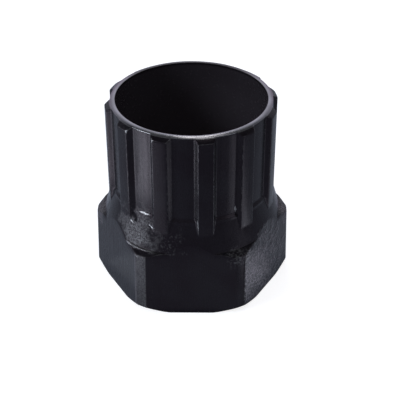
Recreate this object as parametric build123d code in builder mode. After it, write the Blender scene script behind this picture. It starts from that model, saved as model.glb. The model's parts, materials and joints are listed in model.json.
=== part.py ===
from build123d import *
import math
import os

os.makedirs("parts", exist_ok=True)

# Freewheel remover: one piece of turned, milled and blackened steel.
# It stands on its wrench end with the splined end up, and one wrench flat faces -Y.
# The origin is the centre of the foot. All sizes are in millimetres.

# Wrench end: a hexagon with a slight draft, widest at the foot, and turned corners
across_flats = 24.0
flat_draft = 1.3
corner_relief = 0.4
corner_taper = 0.25
hex_height = 9.05
foot_face_margin = 0.33
foot_chamfer_h = 0.85
corner_chamfer_w = 0.8
corner_chamfer_h = 0.6
shoulder_w = 0.28
flat_run_out = 1.3

# Flare from the shoulder up to the neck of the barrel
flare_height = 4.05
flare_foot_fillet = 0.15
neck_height = 0.35
groove_end_step = 0.25
groove_end_h = 0.45

# Splined barrel
height = 26.6
spline_count = 12
spline_outer_d = 22.8
spline_depth = 0.7
spline_land_w = 1.92
spline_flank_angle = 60.0
spline_top_angle = 39.0
spline_phase = 10.0
rim_edge_break = 0.05
barrel_wall = 0.7

# Stepped bore: wide down to where the flats run out, narrow through the wrench end
bore_floor_fillet = 0.8
through_d = 12.5
through_chamfer = 0.5

# Radii that follow
outer_r = spline_outer_d / 2
root_r = outer_r - spline_depth
rim_r = root_r - rim_edge_break
neck_r = root_r + groove_end_step
bore_r = root_r - barrel_wall
through_r = through_d / 2
flat_r = across_flats / 2
corner_low_r = flat_r / math.cos(math.radians(30)) - corner_relief
corner_high_r = corner_low_r - corner_taper
foot_face_r = flat_r + foot_face_margin
shoulder_r = corner_high_r - corner_chamfer_w
flare_foot_r = shoulder_r - shoulder_w
flare_low_r = flare_foot_r + (neck_r - flare_foot_r) * flat_run_out / flare_height

# Heights that follow
shoulder_z = hex_height + corner_chamfer_h
bore_floor_z = shoulder_z + flat_run_out
neck_z = shoulder_z + flare_height
groove_end_low_z = neck_z + neck_height
groove_end_z = groove_end_low_z + groove_end_h
root_top_z = height - rim_edge_break
land_top_z = height - (outer_r - rim_r) * math.tan(math.radians(spline_top_angle))

# Rib section: its land lies at outer_r, and its flanks widen towards the axis
flank_spread = 1 / math.tan(math.radians(spline_flank_angle))
rib_inner_r = (bore_r + root_r) / 2
rib_past_r = outer_r + spline_depth
rib_inner_half_w = spline_land_w / 2 + (outer_r - rib_inner_r) * flank_spread
rib_past_half_w = spline_land_w / 2 - (rib_past_r - outer_r) * flank_spread

# Ribs: a turned ring with a chamfered top, milled down to bars with sloping flanks
with BuildPart() as ribs:
    with BuildSketch(Plane.XZ):
        with BuildLine():
            Polyline(
                (rib_inner_r, shoulder_z),
                (outer_r, shoulder_z),
                (outer_r, land_top_z),
                (rim_r, height),
                (rib_inner_r, height),
                close=True,
            )
        make_face()
    revolve(axis=Axis.Z)
    with BuildSketch(Plane.XY.offset(shoulder_z)):
        with PolarLocations(0, spline_count, start_angle=spline_phase):
            Polygon(
                (rib_inner_r - spline_depth, -rib_inner_half_w - spline_depth * flank_spread),
                (rib_past_r, -rib_past_half_w),
                (rib_past_r, rib_past_half_w),
                (rib_inner_r - spline_depth, rib_inner_half_w + spline_depth * flank_spread),
                align=None,
            )
    extrude(amount=height - shoulder_z, mode=Mode.INTERSECT)

with BuildPart() as remover:
    # Wrench end and the flare's foot: turned first, then the six flats are cut
    with BuildSketch(Plane.XZ) as wrench_profile:
        with BuildLine():
            Polyline(
                (0, 0),
                (foot_face_r, 0),
                (corner_low_r, foot_chamfer_h),
                (corner_high_r, hex_height),
                (shoulder_r, shoulder_z),
                (flare_foot_r, shoulder_z),
                (flare_low_r, bore_floor_z),
                (0, bore_floor_z),
                close=True,
            )
        make_face()
        flare_foot = wrench_profile.vertices().sort_by_distance((flare_foot_r, shoulder_z, 0))[0]
        fillet(flare_foot, flare_foot_fillet)
    revolve(axis=Axis.Z)
    with BuildSketch(Plane.XY):
        RegularPolygon(flat_r, 6, major_radius=False)
    extrude(amount=bore_floor_z, taper=flat_draft, mode=Mode.INTERSECT)

    # Barrel: the rest of the flare, the neck, the step where the grooves end, the groove floors
    with BuildSketch(Plane.XZ):
        with BuildLine():
            Polyline(
                (0, bore_floor_z),
                (flare_low_r, bore_floor_z),
                (neck_r, neck_z),
                (neck_r, groove_end_low_z),
                (root_r, groove_end_z),
                (root_r, root_top_z),
                (rim_r, height),
                (0, height),
                close=True,
            )
        make_face()
    revolve(axis=Axis.Z)
    add(ribs.part)

    # Stepped bore, with a chamfer at the foot and a round corner on its floor
    with BuildSketch(Plane.XZ) as bore_profile:
        with BuildLine():
            Polyline(
                (0, 0),
                (through_r + through_chamfer, 0),
                (through_r, through_chamfer),
                (through_r, bore_floor_z),
                (bore_r, bore_floor_z),
                (bore_r, height),
                (0, height),
                close=True,
            )
        make_face()
        floor_corner = bore_profile.vertices().sort_by_distance((bore_r, bore_floor_z, 0))[0]
        fillet(floor_corner, bore_floor_fillet)
    revolve(axis=Axis.Z, mode=Mode.SUBTRACT)

remover.part.label = "remover_body"
export_step(remover.part, "parts/remover_body.step")
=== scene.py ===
import json
import math

import bpy
import numpy as np
from mathutils import Matrix, Vector


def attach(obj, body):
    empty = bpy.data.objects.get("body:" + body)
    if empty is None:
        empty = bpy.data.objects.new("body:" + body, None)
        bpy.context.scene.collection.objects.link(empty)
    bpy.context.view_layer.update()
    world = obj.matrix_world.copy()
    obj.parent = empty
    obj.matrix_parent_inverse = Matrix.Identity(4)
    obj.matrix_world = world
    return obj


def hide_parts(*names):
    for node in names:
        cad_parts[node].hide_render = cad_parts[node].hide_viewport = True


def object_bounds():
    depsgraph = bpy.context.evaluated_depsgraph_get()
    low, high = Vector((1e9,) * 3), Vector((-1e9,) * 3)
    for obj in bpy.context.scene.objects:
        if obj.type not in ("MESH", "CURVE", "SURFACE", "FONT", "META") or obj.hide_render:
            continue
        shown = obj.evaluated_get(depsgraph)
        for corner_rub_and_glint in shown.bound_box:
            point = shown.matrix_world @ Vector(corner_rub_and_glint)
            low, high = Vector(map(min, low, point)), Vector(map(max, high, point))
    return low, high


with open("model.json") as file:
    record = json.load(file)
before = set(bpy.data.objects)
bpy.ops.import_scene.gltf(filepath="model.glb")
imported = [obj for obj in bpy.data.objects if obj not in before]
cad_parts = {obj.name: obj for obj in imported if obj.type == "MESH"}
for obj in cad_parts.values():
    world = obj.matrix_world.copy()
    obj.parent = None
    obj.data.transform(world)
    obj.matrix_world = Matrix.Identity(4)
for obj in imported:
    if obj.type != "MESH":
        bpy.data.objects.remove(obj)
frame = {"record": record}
cad_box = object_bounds()
MM = 0.001

# Sizes of the tool that the frame gives, in millimetres: to a flat, to the top, and of the bores
bores = {mount["name"]: mount["dims"] for mount in frame["record"]["mounts"]}
FLAT_R = round(cad_box[1][1] / MM, 3)
HEIGHT = round(cad_box[1][2] / MM, 3)
BORE_R = bores["barrel_bore"]["r_mm"]
BORE_WALL_H = bores["barrel_bore"]["length_mm"]
HOLE_R = bores["spindle_hole"]["r_mm"]

# Its other sizes, in millimetres, from the foot up
FLAT_DRAFT = 1.3
HOLE_CHAMFER = 0.5
FOOT_FACE_R = 12.33
FOOT_CHAMFER_H = 0.85
CORNER_LOW_R = 13.456
CORNER_HIGH_R = 13.206
HEX_HEIGHT = 9.05
SHOULDER_R = 12.406
SHOULDER_Z = 9.65
FLARE_FOOT_R = 12.126
RIB_END_Z = 11.9
NECK_R = 10.95
NECK_Z = 13.7
GROOVE_STEP_Z = 14.05
GROOVE_END_Z = 14.5
ROOT_R = 10.7
OUTER_R = 11.4
RIM_R = 10.65
RIM_BREAK = 0.05
FLOOR_ROUND = 0.8
BORE_FLOOR_Z = round(HEIGHT - BORE_WALL_H - FLOOR_ROUND, 3)

# Ribs: their first centre and their pitch in degrees from the front, and their section
RIB_PHASE = 10.0
RIB_PITCH = 30.0
LAND_HALF_W = 0.96
FLANK_ANGLE = 60.0
TOP_ANGLE = 39.0

# How far edges are rounded, and how the rim's end falls off from its inner to its outer edge
EDGE_ROUND = 0.06
RIM_CROWN_R = 10.02
RIM_CROWN = 0.09
CROWN_DEEP = 0.4
CROWN_FULL = 0.05

# Columns of the mesh, in degrees: how close they stand beside an edge, the share of a narrow span
# that they may take there, and how far apart they stand elsewhere
EDGE_COLUMNS = (0.3, 0.7)
COLUMN_SHARE = 0.36
COLUMN_STEP = 1.15

# Rows of the mesh, in millimetres: how close they stand beside an edge, the share of a short run
# that they may take there, the least gap, where their spacing changes, and the angles, in degrees,
# of those in the round at the bore's floor
EDGE_ROWS = [0.06, 0.15]
ROW_SHARE = 0.45
LEAST_GAP = 0.012
RIBS_FROM_Z = SHOULDER_Z + 0.5
GROOVE_ROWS_H = 0.4
TOP_ROWS_H = 0.85
ROUND_ANGLES = range(0, 91, 15)


def flat_reach(z):
    """Distance from the axis to a wrench flat at a height."""
    return FLAT_R - z * math.tan(math.radians(FLAT_DRAFT))


def flank_angle_at(r):
    """Angle from a rib's middle to its flank at a radius, in degrees."""
    spread = 1 / math.tan(math.radians(FLANK_ANGLE))
    reach = LAND_HALF_W + OUTER_R * spread
    return math.degrees(math.asin(reach / (r * math.hypot(1, spread))) - math.atan(spread))


def strip_angle_at(z, r):
    """Angle from a hexagon corner's middle to the edge of its turned strip, in degrees."""
    return 30 - math.degrees(math.acos(flat_reach(z) / r))


def angle_lines():
    """Angles round the axis, in degrees, close together where ribs and corners have edges."""
    edges = []
    for middle in (RIB_PHASE, RIB_PHASE + RIB_PITCH):
        for r in (OUTER_R, ROOT_R):
            edges += [middle - flank_angle_at(r), middle + flank_angle_at(r)]
    low_strip = strip_angle_at(FOOT_CHAMFER_H, CORNER_LOW_R)
    high_strip = strip_angle_at(HEX_HEIGHT, CORNER_HIGH_R)
    strip = (low_strip + high_strip) / 2
    edges += [30 - strip, 30 + strip]
    edges = sorted(e % 60 for e in edges)
    lines = []
    for low, high in zip(edges, edges[1:] + [edges[0] + 60]):
        near = [d for d in EDGE_COLUMNS if d < COLUMN_SHARE * (high - low)]
        start = low + max(near, default=0)
        stop = high - max(near, default=0)
        steps = max(1, math.ceil((stop - start) / COLUMN_STEP))
        lines += [low] + [low + d for d in near] + [high - d for d in near]
        lines += [start + (stop - start) * k / steps for k in range(1, steps)]
    lines = np.array(sorted(x % 60 for x in lines))
    return np.concatenate([lines + 60 * k for k in range(6)])


def cut(p, q, c):
    """The point between p and q where a flat cuts the turned outline.

    c is the cosine of the angle from the flat's middle.
    """
    m = math.tan(math.radians(FLAT_DRAFT)) / c
    t = (FLAT_R / c - p[1] * m - p[0]) / ((q[0] - p[0]) + (q[1] - p[1]) * m)
    return (p[0] + (q[0] - p[0]) * t, p[1] + (q[1] - p[1]) * t)


def outline(angle):
    """The outline's corners at an angle, from the foot up to the neck, with the flat cut away."""
    c = math.cos(math.radians((angle + 30) % 60 - 30))
    foot, low, high = (FOOT_FACE_R, 0), (CORNER_LOW_R, FOOT_CHAMFER_H), (CORNER_HIGH_R, HEX_HEIGHT)
    shoulder, flare = (SHOULDER_R, SHOULDER_Z), (FLARE_FOOT_R, SHOULDER_Z)
    neck = (NECK_R, NECK_Z)
    if flat_reach(0) / c < foot[0]:
        foot = low = (flat_reach(0) / c, 0)
    elif flat_reach(low[1]) / c < low[0]:
        low = cut(foot, low, c)
    if flat_reach(SHOULDER_Z) / c < flare[0]:
        high = shoulder = flare = cut(flare, neck, c)
    elif flat_reach(SHOULDER_Z) / c < shoulder[0]:
        high = shoulder = cut(shoulder, flare, c)
    elif flat_reach(high[1]) / c < high[0]:
        high = cut(high, shoulder, c)
    return [foot, low, high, shoulder, flare]


def spaced(length, starts, inner, ends):
    """Distances along a run: close to its start, evenly between, close to its end."""
    most = max(starts + ends, default=0)
    shrink = min(1, ROW_SHARE * length / most) if most else 1
    head = [0] + [d * shrink for d in starts]
    tail = [length - d * shrink for d in reversed(ends)]
    stop = tail[0] if tail else length
    body = [head[-1] + (stop - head[-1]) * (k + 1) / (inner + 1) for k in range(inner)]
    return head + body + tail


def along(path, runs):
    """Points along a path of (r, z) corners, each run spaced as its entry says."""
    path = np.array(path, float)
    lengths = np.hypot(*np.diff(path, axis=0).T)
    marks = np.concatenate([[0], np.cumsum(lengths)])
    parts = [marks[i] + np.array(spaced(lengths[i], *run)) for i, run in enumerate(runs)]
    s = np.concatenate(parts)
    for i in range(1, len(s)):
        s[i] = max(s[i], s[i - 1] + LEAST_GAP)
    keep = np.concatenate([[True], lengths > 1e-6])
    r = np.interp(s, marks[keep], path[keep, 0])
    z = np.interp(s, marks[keep], path[keep, 1])
    return np.stack([r, z], axis=1)


def body_grid():
    """The tool's surface as a closed grid of points: rows along the outline, columns round the axis."""
    angles = angle_lines()
    floor = []
    for angle in ROUND_ANGLES:
        a = math.radians(angle)
        floor.append((BORE_R - FLOOR_ROUND + FLOOR_ROUND * math.cos(a),
                      BORE_FLOOR_Z + FLOOR_ROUND - FLOOR_ROUND * math.sin(a)))
    rib_end_share = (RIB_END_Z - SHOULDER_Z) / (NECK_Z - SHOULDER_Z)
    rib_end_r = FLARE_FOOT_R + (NECK_R - FLARE_FOOT_R) * rib_end_share

    # Each run of rows: those close to its start, the number evenly between, those close to its end
    both, wall = (EDGE_ROWS, 1, EDGE_ROWS[::-1]), (EDGE_ROWS + [0.3], 11, [0.3] + EDGE_ROWS[::-1])
    lower = [both, wall, ([0.05, 0.12], 2, [0.12, 0.05]), ([0.05], 1, [0.05]), (EDGE_ROWS, 7, [])]
    barrel = [
        ((rib_end_r, RIB_END_Z), ([], 17, [])),
        ((NECK_R, NECK_Z), ([], 2, [])),
        ((NECK_R, GROOVE_STEP_Z), ([0.06], 3, [0.06])),
        ((ROOT_R, GROOVE_END_Z), (EDGE_ROWS, 1, [])),
        ((ROOT_R, GROOVE_END_Z + GROOVE_ROWS_H), ([], 14, [])),
        ((ROOT_R, HEIGHT - TOP_ROWS_H), ([], 9, [])),
        ((ROOT_R, HEIGHT - RIM_BREAK), ([], 0, [])),
    ]
    inside = [
        ((RIM_R, HEIGHT), ([0.05, 0.11], 2, [0.11, 0.05])),
        ((BORE_R, HEIGHT), ([0.05, 0.11, 0.25, 0.5], 8, [0.3])),
    ]
    inside += [(p, ([], 0, [])) for p in floor[:-1]]
    inside += [
        (floor[-1], ([0.3], 3, EDGE_ROWS[::-1])),
        ((HOLE_R, BORE_FLOOR_Z), (EDGE_ROWS, 5, EDGE_ROWS[::-1])),
        ((HOLE_R, HOLE_CHAMFER), (EDGE_ROWS, 0, EDGE_ROWS[::-1])),
        ((HOLE_R + HOLE_CHAMFER, 0), (EDGE_ROWS, 4, EDGE_ROWS[::-1])),
    ]
    upper = barrel + inside
    runs = lower + [run for _, run in upper]
    columns = []
    for angle in angles:
        path = outline(angle) + [p for p, _ in upper]
        path.append(path[0])
        columns.append(along(path, runs))
    grid = np.array(columns).transpose(1, 0, 2)
    r, z = grid[..., 0], grid[..., 1]

    # Ribs stand out of the rows on the outside
    outside = np.zeros(r.shape, bool)
    outside[:sum(1 + len(a) + n + len(b) for a, n, b in runs[:len(lower + barrel)])] = True
    lean = np.radians((angles - RIB_PHASE + RIB_PITCH / 2) % RIB_PITCH - RIB_PITCH / 2)
    spread = 1 / math.tan(math.radians(FLANK_ANGLE))
    flank = (LAND_HALF_W + OUTER_R * spread) / (np.abs(np.sin(lean)) + spread * np.cos(lean))
    top = RIM_R + (HEIGHT - z) / math.tan(math.radians(TOP_ANGLE))
    rib = np.minimum(np.minimum(OUTER_R, top), flank[None, :])
    r = np.where(outside & (z > RIBS_FROM_Z), np.maximum(r, rib), r)

    # The rim's end falls off towards its outer edge
    slope = np.clip((r - RIM_CROWN_R) / (RIM_R - RIM_CROWN_R), 0, 1) ** 2
    under_rim = np.clip((z - HEIGHT + CROWN_DEEP) / (CROWN_DEEP - CROWN_FULL), 0, 1)
    z = z - RIM_CROWN * slope * under_rim
    a = np.radians(angles)[None, :]
    return np.stack([r * np.sin(a), -r * np.cos(a), z], axis=-1)


def solve_ring(low, mid, high, right):
    """Solves a closed three-term chain along axis 0, for every other axis at once."""
    n = len(mid)
    gamma = -mid[0]
    d = mid.copy()
    d[0] = mid[0] - gamma
    d[-1] = mid[-1] - low[0] * high[-1] / gamma
    u = np.zeros_like(mid)
    u[0] = gamma
    u[-1] = high[-1]

    def chain(b):
        c = np.zeros_like(d)
        x = np.zeros_like(b)
        shape = (...,) + (None,) * (b.ndim - d.ndim)
        c[0] = high[0] / d[0]
        x[0] = b[0] / d[0][shape]
        for i in range(1, n):
            w = d[i] - low[i] * c[i - 1]
            c[i] = high[i] / w
            x[i] = (b[i] - low[i][shape] * x[i - 1]) / w[shape]
        for i in range(n - 2, -1, -1):
            x[i] -= c[i][shape] * x[i + 1]
        return x

    y, q = chain(right), chain(u)
    above = y[0] + (low[0] / gamma)[..., None] * y[-1]
    below = (1 + q[0] + low[0] / gamma * q[-1])[..., None]
    return y - q[..., None] * (above / below)[None]


def rounded(grid, reach, axis):
    """The grid smoothed along one axis by a spread of reach, whatever its spacing."""
    g = np.moveaxis(grid, axis, 0)
    step = np.maximum(np.linalg.norm(np.roll(g, -1, 0) - g, axis=-1), 1e-5)
    back = np.roll(step, 1, 0)
    low = -2 * reach**2 / (back * (step + back))
    high = -2 * reach**2 / (step * (step + back))
    out = solve_ring(low, 1 - low - high, high, g)
    return np.moveaxis(out, 0, axis)


def grid_mesh(name, grid):
    """A closed mesh from a grid that wraps round both ways."""
    rows, columns = grid.shape[:2]
    i, j = np.meshgrid(np.arange(rows), np.arange(columns), indexing="ij")
    near, far = (i + 1) % rows, (j + 1) % columns
    corners = [i * columns + j, i * columns + far, near * columns + far, near * columns + j]
    faces = np.stack(corners, axis=-1)
    made = bpy.data.meshes.new(name)
    made.from_pydata(grid.reshape(-1, 3).tolist(), [], faces.reshape(-1, 4).tolist())
    made.update()
    made.polygons.foreach_set("use_smooth", [True] * len(made.polygons))
    return made


sharp = body_grid()
smooth = rounded(rounded(sharp, EDGE_ROUND, 0), EDGE_ROUND, 1)
mesh = grid_mesh("remover_shell", smooth * MM)
shell = bpy.data.objects.new("remover_shell", mesh)
bpy.context.scene.collection.objects.link(shell)
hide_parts("remover_body")
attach(shell, "root")

# Edge wear: how far the rounding took each point in along its normal, as a share of the most
MOST_ROUNDING = 0.03
normals = np.zeros(len(mesh.vertices) * 3)
mesh.vertices.foreach_get("normal", normals)
drop = ((sharp - smooth).reshape(-1, 3) * normals.reshape(-1, 3)).sum(axis=1)
edge = mesh.attributes.new("edge", "FLOAT", "POINT")
edge.data.foreach_set("value", np.clip(drop / MOST_ROUNDING, -1, 1).astype(np.float32))


def node(tree, kind, sockets=None, **settings):
    """The outputs of a shader node, whose sockets get a value or another node's output."""
    made = tree.nodes.new("ShaderNode" + kind)
    for key, value in settings.items():
        setattr(made, key, value)
    for key, value in (sockets or {}).items():
        if isinstance(value, bpy.types.NodeSocket):
            tree.links.new(value, made.inputs[key])
        else:
            made.inputs[key].default_value = value
    return made.outputs


def calc(tree, operation, a, b=0.0, clamp=False):
    """One operation on two numbers."""
    return node(tree, "Math", {0: a, 1: b}, operation=operation, use_clamp=clamp)[0]


def chained(tree, operation, values):
    """The same operation on one number after another."""
    made = values[0]
    for value in values[1:]:
        made = calc(tree, operation, made, value)
    return made


def times(tree, *values):
    """The product of some numbers."""
    return chained(tree, "MULTIPLY", values)


def most_of(tree, *values):
    """The largest of some numbers."""
    return chained(tree, "MAXIMUM", values)


def plus(tree, *values):
    """The sum of some numbers."""
    return chained(tree, "ADD", values)


def minus(tree, a, b):
    """One number less another."""
    return calc(tree, "SUBTRACT", a, b)


def vector(tree, operation, a, b):
    """The vector and the number that an operation on two vectors gives."""
    return node(tree, "VectorMath", {0: a, 1: b}, operation=operation)


def ramp(tree, value, low, high, to_low=0.0, to_high=1.0):
    """A value brought from one range to another with soft ends, and held there outside it."""
    sockets = {"Value": value, "From Min": low, "From Max": high, "To Min": to_low, "To Max": to_high}
    return node(tree, "MapRange", sockets, interpolation_type="SMOOTHSTEP")[0]


def grain(tree, place, scale, detail=2.0, roughness=0.5):
    """Noise about 0.5, its scale in waves per millimetre."""
    sockets = {"Vector": place, "Scale": scale, "Detail": detail, "Roughness": roughness}
    return node(tree, "TexNoise", sockets)[0]


def mixed(tree, factor, a, b):
    """Colour a turned into colour b by a factor."""
    return node(tree, "Mix", {0: factor, 6: a, 7: b}, data_type="RGBA")[2]


def patch(tree, place, centre, reach):
    """1 at a spot on the tool and 0 beyond its reach, both in millimetres."""
    return ramp(tree, vector(tree, "DISTANCE", place, centre)[1], reach, 0.3 * reach)


def blotch(tree, place, centre, reach):
    """A patch whose outline wanders."""
    wander = ramp(tree, grain(tree, place, 0.7, 3.0, 0.6), 0.36, 0.64, 0.72, 1.40)
    away = times(tree, vector(tree, "DISTANCE", place, centre)[1], wander)
    return ramp(tree, away, reach, 0.35 * reach)


def on_tool(azimuth, r, z):
    """A spot from its angle to the right of the front, its distance from the axis and its height."""
    return (r * math.sin(math.radians(azimuth)), -r * math.cos(math.radians(azimuth)), z)


def on_flat(tree, place, azimuth):
    """1 on the wrench flat that faces an angle, 0 away from it."""
    facing = on_tool(azimuth, 1.0, math.tan(math.radians(FLAT_DRAFT)))
    return ramp(tree, vector(tree, "DOT_PRODUCT", place, facing)[1], FLAT_R - 0.16, FLAT_R - 0.04)


def scratch(tree, place, start, end, width):
    """1 along the line between two spots on the tool and 0 beyond its width, thinner at its ends."""
    run = Vector(end) - Vector(start)
    away = vector(tree, "SUBTRACT", place, start)[0]
    share = vector(tree, "DOT_PRODUCT", away, run / run.length_squared)[1]
    share = calc(tree, "ADD", share, 0.0, True)
    nearest = node(tree, "VectorMath", {0: run, 3: share}, operation="SCALE")[0]
    gap = vector(tree, "DISTANCE", away, nearest)[1]
    ragged = ramp(tree, grain(tree, place, 3.5, 2.0), 0.3, 0.7, 0.45, 1.3)
    taper = times(tree, share, minus(tree, 1.0, share), 4.0)
    taper = times(tree, plus(tree, taper, 0.25), ragged)
    return ramp(tree, calc(tree, "DIVIDE", gap, taper), width, 0.3 * width)


# Blackened steel: thin black oxide over turned and milled metal, rubbed here and there, with some
# painted highlights and painted shade among the rubbed marks
OXIDE_DARK = (0.0044, 0.0034, 0.0050, 1)
OXIDE_PALE = (0.0066, 0.0062, 0.0080, 1)
BORE_OXIDE_AND_PAINTED_LIGHT = (0.0700, 0.0600, 0.0720, 1)
RUBBED = (0.170, 0.168, 0.174, 1)
RIM_INNER = (0.290, 0.284, 0.294, 1)
RIM_OUTER = (0.155, 0.151, 0.159, 1)
BARE_AND_GLINT = (0.46, 0.45, 0.46, 1)

# Bright spots on edges: angle from the front, distance from the axis, height, reach, and how bare
SPOTS = [
    (-45.2, 11.2, 25.9, 0.36, 0.8),
    (-24.8, 11.2, 25.9, 0.42, 0.5),
    (2.5, 10.8, 25.3, 0.60, 0.5),
    (-36.5, 10.8, 26.4, 0.80, 0.35),
]

# Bright marks: where each starts and ends, its width, and how bare; the third is a painted highlight on
# the ledge where a groove ends
MARKS_AND_GLINT = [
    ((-29.4, 11.14, 13.00), (-23.6, 11.31, 12.40), 0.11, 0.9),
    ((-45.8, 11.26, 12.66), (-42.0, 11.35, 12.32), 0.13, 0.8),
    # A painted highlight: the glint on the ledge at the end of a groove at the left front
    ((-38.6, 10.85, 14.24), (-29.2, 10.85, 14.30), 0.18, 0.6),
    ((4.3, 11.25, 14.80), (5.0, 11.42, 13.00), 0.14, 0.5),
    ((17.0, 11.05, 14.60), (16.6, 11.38, 12.90), 0.12, 0.2),
    ((32.4, 10.72, 15.60), (32.4, 10.72, 14.60), 0.16, 0.5),
    ((37.7, 11.27, 12.50), (38.2, 11.27, 12.46), 0.22, 0.4),
    ((-35.4, 13.16, 9.12), (-31.4, 13.20, 8.76), 0.14, 0.5),
    ((-78.4, 12.49, 6.42), (-78.3, 12.49, 6.38), 0.16, 0.5),
]

# Dark nicks at the feet of two grooves, partly gouges and partly painted shade at the foot of a flank:
# where each starts and ends, and its width
NICKS_AND_SHADE = [
    ((-44.6, 11.02, 13.80), (-40.2, 11.08, 13.15), 0.42),
    ((-40.0, 11.08, 13.30), (-41.4, 11.24, 12.65), 0.36),
    ((32.0, 10.86, 14.40), (33.4, 10.95, 13.90), 0.42),
]

oxide = bpy.data.materials.new("black_oxide")
oxide.use_nodes = True
tree = oxide.node_tree
skin = tree.nodes["Principled BSDF"]
metres = node(tree, "TexCoord")["Object"]
place = node(tree, "VectorMath", {0: metres, 3: 1 / MM}, operation="SCALE")[0]
x, y, z = node(tree, "SeparateXYZ", {0: place})
level = node(tree, "CombineXYZ", {0: x, 1: y})[0]
across = node(tree, "VectorMath", {0: level}, operation="LENGTH")[1]
turn = times(tree, calc(tree, "ARCTAN2", x, times(tree, y, -1.0)), math.degrees(1))
edge_wear = node(tree, "Attribute", attribute_name="edge")["Fac"]

cloud = grain(tree, place, 0.22, 3.0)
fine = grain(tree, place, 2.4, 3.0, 0.6)
pebbles = grain(tree, place, 3.6, 2.0, 0.5)
flecks = grain(tree, place, 5.0, 3.0, 0.6)

# Streaks from the tooling run along the axis, on the outside only
long_way = node(tree, "Mapping", {0: place, "Scale": (1.9, 1.9, 0.10)})[0]
off_bore = calc(tree, "GREATER_THAN", across, BORE_R + 0.05)
streaks = plus(tree, times(tree, minus(tree, grain(tree, long_way, 1.0, 3.0, 0.6), 0.5), off_bore), 0.5)

# Where the finish is coarse and rubbed: the flare and corner at the left front, the right flat
off_left = minus(tree, 1.0, on_flat(tree, place, -60))
over_shoulder = ramp(tree, z, SHOULDER_Z - 0.25, SHOULDER_Z - 0.05)
on_flare = times(tree, blotch(tree, place, on_tool(-40, 11.9, 11.0), 3.9), off_left, over_shoulder)
on_strip = times(tree, ramp(tree, turn, -35.6, -33.8), ramp(tree, turn, -26.4, -27.1))
on_strip = times(tree, on_strip, ramp(tree, z, HEX_HEIGHT + 0.2, HEX_HEIGHT - 0.1))
by_strip = times(tree, on_strip, ramp(tree, turn, -32.0, -34.0))
on_right = on_flat(tree, place, 60)
on_pebbles = times(tree, blotch(tree, place, on_tool(43, 12.9, 3.0), 9.5), on_right)
coarse = most_of(tree, on_flare, on_strip, on_pebbles)

rub_and_painted_light = most_of(
    tree,
    times(tree, on_flare, ramp(tree, flecks, 0.36, 0.64, 0.05, 0.52)),
    times(tree, on_strip, ramp(tree, flecks, 0.34, 0.62, 0.08, 0.40)),
    times(tree, by_strip, ramp(tree, flecks, 0.52, 0.66, 0.0, 0.8)),
    times(tree, on_pebbles, ramp(tree, pebbles, 0.40, 0.66, 0.0, 0.56)),
)

# Faint pebbles on the front of the flare, and on the chamfer at the right front
front_rub = blotch(tree, place, on_tool(-17, 12.0, 10.3), 3.4)
front_rub = times(tree, front_rub, ramp(tree, pebbles, 0.50, 0.72, 0.0, 0.20), over_shoulder)
chamfer_rub = blotch(tree, place, on_tool(28, 13.0, 9.35), 1.9)
chamfer_rub = times(tree, chamfer_rub, ramp(tree, pebbles, 0.44, 0.62, 0.0, 0.30))
rub_and_painted_light = most_of(tree, rub_and_painted_light, front_rub, chamfer_rub)

# The side corners' tops are rubbed a little too, which is partly a painted highlight on those corners
for side in (-87, 87):
    corner_rub_and_glint = blotch(tree, place, on_tool(side, 12.4, 9.7), 2.6)
    rub_and_painted_light = most_of(tree, rub_and_painted_light, times(tree, corner_rub_and_glint, ramp(tree, flecks, 0.42, 0.66, 0.05, 0.65)))

# The rim's end is bare of oxide, most of all along its inner edge, and less at the back, where the lower
# rub is painted shade that darkens the back of the rim
on_rim = ramp(tree, z, HEIGHT - 0.22, HEIGHT - 0.14)
on_rim = times(tree, on_rim, ramp(tree, across, BORE_R, BORE_R + 0.08))
rim_rub_and_back_shade = times(tree, ramp(tree, cloud, 0.30, 0.65, 0.75, 1.0), ramp(tree, y, 3.0, 8.5, 1.0, 0.28))
rub_and_painted_light = most_of(tree, rub_and_painted_light, times(tree, on_rim, rim_rub_and_back_shade))
rubbed = mixed(tree, ramp(tree, across, 10.2, 10.62), RIM_INNER, RIM_OUTER)
rubbed = mixed(tree, on_rim, RUBBED, rubbed)

# Edges under the rim are rubbed through to the metal in places
broken = ramp(tree, grain(tree, place, 1.1, 3.0, 0.65), 0.45, 0.68)
bare_and_glints = times(tree, ramp(tree, edge_wear, 0.22, 0.75), times(tree, broken, 0.3))
bare_and_glints = times(tree, bare_and_glints, ramp(tree, z, HEIGHT - 0.1, HEIGHT - 0.3))
on_edge = ramp(tree, edge_wear, 0.06, 0.35)
for azimuth, r, height, reach, amount in SPOTS:
    spot = times(tree, patch(tree, place, on_tool(azimuth, r, height), reach), amount)
    bare_and_glints = most_of(tree, bare_and_glints, times(tree, spot, on_edge))
for start, end, width, amount in MARKS_AND_GLINT:
    mark = scratch(tree, place, on_tool(*start), on_tool(*end), width)
    bare_and_glints = most_of(tree, bare_and_glints, times(tree, mark, amount))

# The shoulder's outer lip at the left front is bare, and stands up a little; the bare line along it is
# partly a painted highlight
lip_out = minus(tree, across, SHOULDER_R - 0.09)
from_lip = node(tree, "CombineXYZ", {0: lip_out, 1: minus(tree, z, SHOULDER_Z)})[0]
from_lip = node(tree, "VectorMath", {0: from_lip}, operation="LENGTH")[1]
lip_wear_and_glint = patch(tree, place, on_tool(-36, 12.4, 9.65), 3.3)
bare_and_glints = calc(tree, "MAXIMUM", bare_and_glints, times(tree, ramp(tree, from_lip, 0.19, 0.08), lip_wear_and_glint), True)
rub_and_painted_light = calc(tree, "MAXIMUM", rub_and_painted_light, bare_and_glints, True)

# Nicks, partly gouges and partly painted shade, take the rub away again
nick_and_shade = 0.0
for start, end, width in NICKS_AND_SHADE:
    nick_and_shade = most_of(tree, nick_and_shade, scratch(tree, place, on_tool(*start), on_tool(*end), width))
rub_and_painted_light = times(tree, rub_and_painted_light, minus(tree, 1.0, nick_and_shade))

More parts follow.
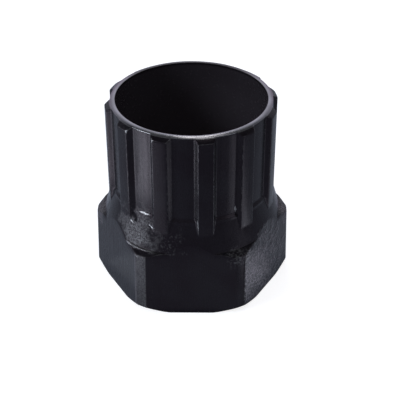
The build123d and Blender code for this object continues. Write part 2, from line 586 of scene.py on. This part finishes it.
# Colour: oxide, made paler towards the bore's floor as painted light in the hollow, then rubbed metal,
# then bare metal
base = mixed(tree, ramp(tree, cloud, 0.36, 0.66), OXIDE_DARK, OXIDE_PALE)
# The bore's wall is painted paler the deeper it goes: painted light that evens out the shade inside the
# bore
bore_painted_light = calc(tree, "LESS_THAN", across, BORE_R + 0.05)
bore_painted_light = times(tree, bore_painted_light, ramp(tree, z, HEIGHT - 0.1, HEIGHT - 0.5))
bore_painted_light = times(tree, bore_painted_light, ramp(tree, z, HEIGHT + 0.5, BORE_FLOOR_Z, 0.25, 1.0))
base = mixed(tree, bore_painted_light, base, BORE_OXIDE_AND_PAINTED_LIGHT)
# Rubbed and bare metal also carry the painted highlights and the rim's painted back shade into this
# colour
base = mixed(tree, rub_and_painted_light, base, mixed(tree, bare_and_glints, rubbed, BARE_AND_GLINT))

rough = plus(
    tree,
    ramp(tree, streaks, 0.3, 0.7, 0.22, 0.30),
    times(tree, coarse, 0.12),
    times(tree, minus(tree, fine, 0.5), 0.12),
)
rough = minus(tree, rough, times(tree, on_rim, 0.08))
rough = calc(tree, "ADD", rough, times(tree, nick_and_shade, 0.7), True)
tree.links.new(base, skin.inputs["Base Color"])
tree.links.new(rub_and_painted_light, skin.inputs["Metallic"])
tree.links.new(rough, skin.inputs["Roughness"])
skin.inputs["Specular IOR Level"].default_value = 0.135
skin.inputs["Specular Tint"].default_value = (1.0, 0.80, 0.92, 1)

# Relief, in steps of BUMP_STEP metres, less on the rim's end
BUMP_STEP = 0.00006
relief = plus(
    tree,
    times(tree, fine, 0.12),
    times(tree, streaks, 0.10),
    times(tree, flecks, times(tree, coarse, 0.9)),
    times(tree, pebbles, times(tree, on_pebbles, 2.2)),
    times(tree, ramp(tree, from_lip, 0.26, 0.08), times(tree, lip_wear_and_glint, 0.8)),
)
relief = times(tree, relief, minus(tree, 1.0, times(tree, on_rim, 0.6)))
bump = node(tree, "Bump", {"Height": relief, "Strength": 1.0, "Distance": BUMP_STEP})[0]
tree.links.new(bump, skin.inputs["Normal"])
mesh.materials.append(oxide)

# Camera: its lens in pixels of a square picture, where it stands in millimetres and degrees, and
# the pixel where it shows the point at AIM_Z on the axis
LENS_PX = 1036.79
PICTURE = 400
SENSOR_W = 36
CAMERA_D = 142.6
CAMERA_ELEVATION = 32.693
CAMERA_AZIMUTH = 1.0
CAMERA_ROLL = -0.3
AIM_Z = 13.77
AIM_PX = (191.939, 179.312)


def camera_matrix():
    """The camera's place and turn in the scene."""
    er, ar, rr = (math.radians(x) for x in (CAMERA_ELEVATION, CAMERA_AZIMUTH, CAMERA_ROLL))
    ahead = Vector((-math.sin(ar) * math.cos(er), math.cos(ar) * math.cos(er), -math.sin(er)))
    right = Vector((math.cos(ar), math.sin(ar), 0))
    up = right.cross(ahead)
    stand = Vector((0, 0, AIM_Z)) - ahead * CAMERA_D
    aim_x, aim_y = ((p - PICTURE / 2) / LENS_PX for p in AIM_PX)
    ray = Vector((aim_x, -aim_y, 1)).normalized()
    tilt = Vector((0, 0, 1)).rotation_difference(ray).to_matrix()
    roll = Matrix(((math.cos(rr), math.sin(rr), 0), (-math.sin(rr), math.cos(rr), 0), (0, 0, 1)))
    rows = tilt @ roll @ Matrix((right, up, ahead))
    m = Matrix((rows[0], rows[1], -rows[2])).transposed().to_4x4()
    m.translation = stand * MM
    return m


camera = bpy.data.objects.new("camera", bpy.data.cameras.new("camera"))
camera.data.sensor_width = SENSOR_W
camera.data.lens = LENS_PX / PICTURE * SENSOR_W
camera.data.clip_start = 0.005
camera.matrix_world = camera_matrix()
bpy.context.scene.collection.objects.link(camera)
bpy.context.scene.camera = camera

# Light: how far most lamps stand from the tool, the size and side of the key and the fill, how high
# the cards on the floor lie, and the tint of most
LAMP_D = 300
BOX_SIZE = (95, 130)
KEY_AZIMUTH = -62
FILL_AZIMUTH = 58
CARD_Z = 0.3
COOL = (0.84, 0.92, 1.0)
MIDDLE = (0, 0, HEIGHT / 2)


def lamp(name, place, aim, width, height, radiance, tint=(1, 1, 1)):
    """A soft rectangular lamp, with its sizes in millimetres, that the camera doesn't see."""
    data = bpy.data.lights.new(name, "AREA")
    data.shape = "RECTANGLE"
    data.size, data.size_y = width * MM, height * MM
    data.energy = radiance * math.pi * data.size * data.size_y
    data.color = tint
    made = bpy.data.objects.new(name, data)
    facing = (Vector(aim) - Vector(place)).to_track_quat("-Z", "Y").to_matrix().to_4x4()
    made.matrix_world = Matrix.Translation(Vector(place) * MM) @ facing
    made.visible_camera = False
    bpy.context.scene.collection.objects.link(made)
    return made


def floor_card(name, azimuth, near, far, width, radiance):
    """A lit card that lies on the floor and points away from the tool, from near to far."""
    card = lamp(name, (0, 0, CARD_Z), (0, 0, 10), width, far - near, radiance, COOL)
    lying = Matrix.Rotation(math.radians(azimuth), 4, "Z") @ Matrix.Rotation(math.pi, 4, "X")
    spot = Vector(on_tool(azimuth, (near + far) / 2, CARD_Z)) * MM
    card.matrix_world = Matrix.Translation(spot) @ lying


def around(azimuth, elevation):
    """A lamp's place, from its angle to the right of the front and its angle above the tool's middle."""
    up = math.radians(elevation)
    return Vector(on_tool(azimuth, LAMP_D * math.cos(up), HEIGHT / 2 + LAMP_D * math.sin(up)))


# A key box at the left front with a low wing, a weak fill at the right, a top box, and a strip
# behind that glints on the rim
lamp("key", around(KEY_AZIMUTH, 26), MIDDLE, *BOX_SIZE, 10.5, COOL)
lamp("key_wing", around(-80, 7), MIDDLE, 170, 70, 3.2, COOL)
lamp("fill", around(FILL_AZIMUTH, 12), MIDDLE, *BOX_SIZE, 2.2, COOL)
lamp("top", (30, 80, 350), (0, 0, 0), 130, 130, 3.6)
lamp("glint", around(179, 53), (0, 0, HEIGHT), 34, 90, 5.2)

# The upright faces mirror the floor, so lit cards lie round the tool
floor_card("key_card", KEY_AZIMUTH, 33.5, 90, 12, 8)
floor_card("key_far", -73, 46, 80, 14, 3.5)
floor_card("key_spill", -42, 20, 70, 14, 1.1)
floor_card("fill_card", FILL_AZIMUTH, 14, 60, 9, 2.2)
floor_card("side_card", 92, 15, 26, 12, 0.15)
floor_card("foot_card", -66, 13.6, 19, 8, 0.22)
floor_card("front_card", 0, 12.4, 27, 22, 0.25)


def seen(tree, looked_at, in_mirror):
    """One strength where the camera looks, another where a mirror or glass does, else 0."""
    path = node(tree, "LightPath")
    shiny = most_of(tree, path["Is Glossy Ray"], path["Is Transmission Ray"])
    direct = times(tree, path["Is Camera Ray"], looked_at)
    return most_of(tree, direct, times(tree, shiny, in_mirror))


# Room: white where it is looked at, a plain even light, and for mirrors pale walls, brightest behind
# the tool, under a dim ceiling
world = bpy.data.worlds.new("studio")
bpy.context.scene.world = world
world.use_nodes = True
tree = world.node_tree
room = tree.nodes["Background"]
room.inputs["Color"].default_value = (1, 1, 1, 1)
room.inputs["Strength"].default_value = 0.3
_, back, up = node(tree, "SeparateXYZ", {0: node(tree, "TexCoord")["Generated"]})
wall = ramp(tree, minus(tree, back, times(tree, up, 0.5)), 0.0, 0.65, 0.0, 0.6)
wall = times(tree, wall, ramp(tree, up, 0.05, 0.40, 0.2, 1.0))
wall = plus(tree, wall, ramp(tree, up, 0.55, 0.75, 0.55, 0.15))
path = node(tree, "LightPath")
backdrop = node(tree, "Background", {"Color": (0.82, 0.88, 1.0, 1), "Strength": wall})[0]
white = node(tree, "Background", {"Color": (1, 1, 1, 1), "Strength": 1.0})[0]
mirrored = node(tree, "MixShader", {0: path["Is Glossy Ray"], 1: room.outputs[0], 2: backdrop})[0]
direct = most_of(tree, path["Is Camera Ray"], path["Is Transmission Ray"])
either = node(tree, "MixShader", {0: direct, 1: mirrored, 2: white})[0]
tree.links.new(either, tree.nodes["World Output"].inputs["Surface"])

# Floor: pale paper, metres wide, that glows where the camera looks, so it reads white and keeps the
# tool's shadow
PAPER_HALF_W = 3.0
CORNERS = [(-1, -1), (1, -1), (1, 1), (-1, 1)]
floor_mesh = bpy.data.meshes.new("floor")
floor_mesh.from_pydata([(a * PAPER_HALF_W, b * PAPER_HALF_W, 0) for a, b in CORNERS], [], [(0, 1, 2, 3)])
floor = bpy.data.objects.new("floor", floor_mesh)
bpy.context.scene.collection.objects.link(floor)
paper = bpy.data.materials.new("paper")
paper.use_nodes = True
tree = paper.node_tree
tree.nodes.remove(tree.nodes["Principled BSDF"])
matt = node(tree, "BsdfDiffuse", {"Color": (0.43, 0.46, 0.54, 1)})[0]
by_camera = node(tree, "LightPath")["Is Camera Ray"]
tone = mixed(tree, by_camera, (0.78, 0.90, 1.14, 1), (1.0, 0.99, 0.98, 1))
glow = node(tree, "Emission", {"Color": tone, "Strength": seen(tree, 0.83, 0.22)})[0]
both = node(tree, "AddShader", {0: matt, 1: glow})[0]
tree.links.new(both, tree.nodes["Material Output"].inputs["Surface"])
floor_mesh.materials.append(paper)

bpy.context.scene.view_settings.view_transform = "Standard"
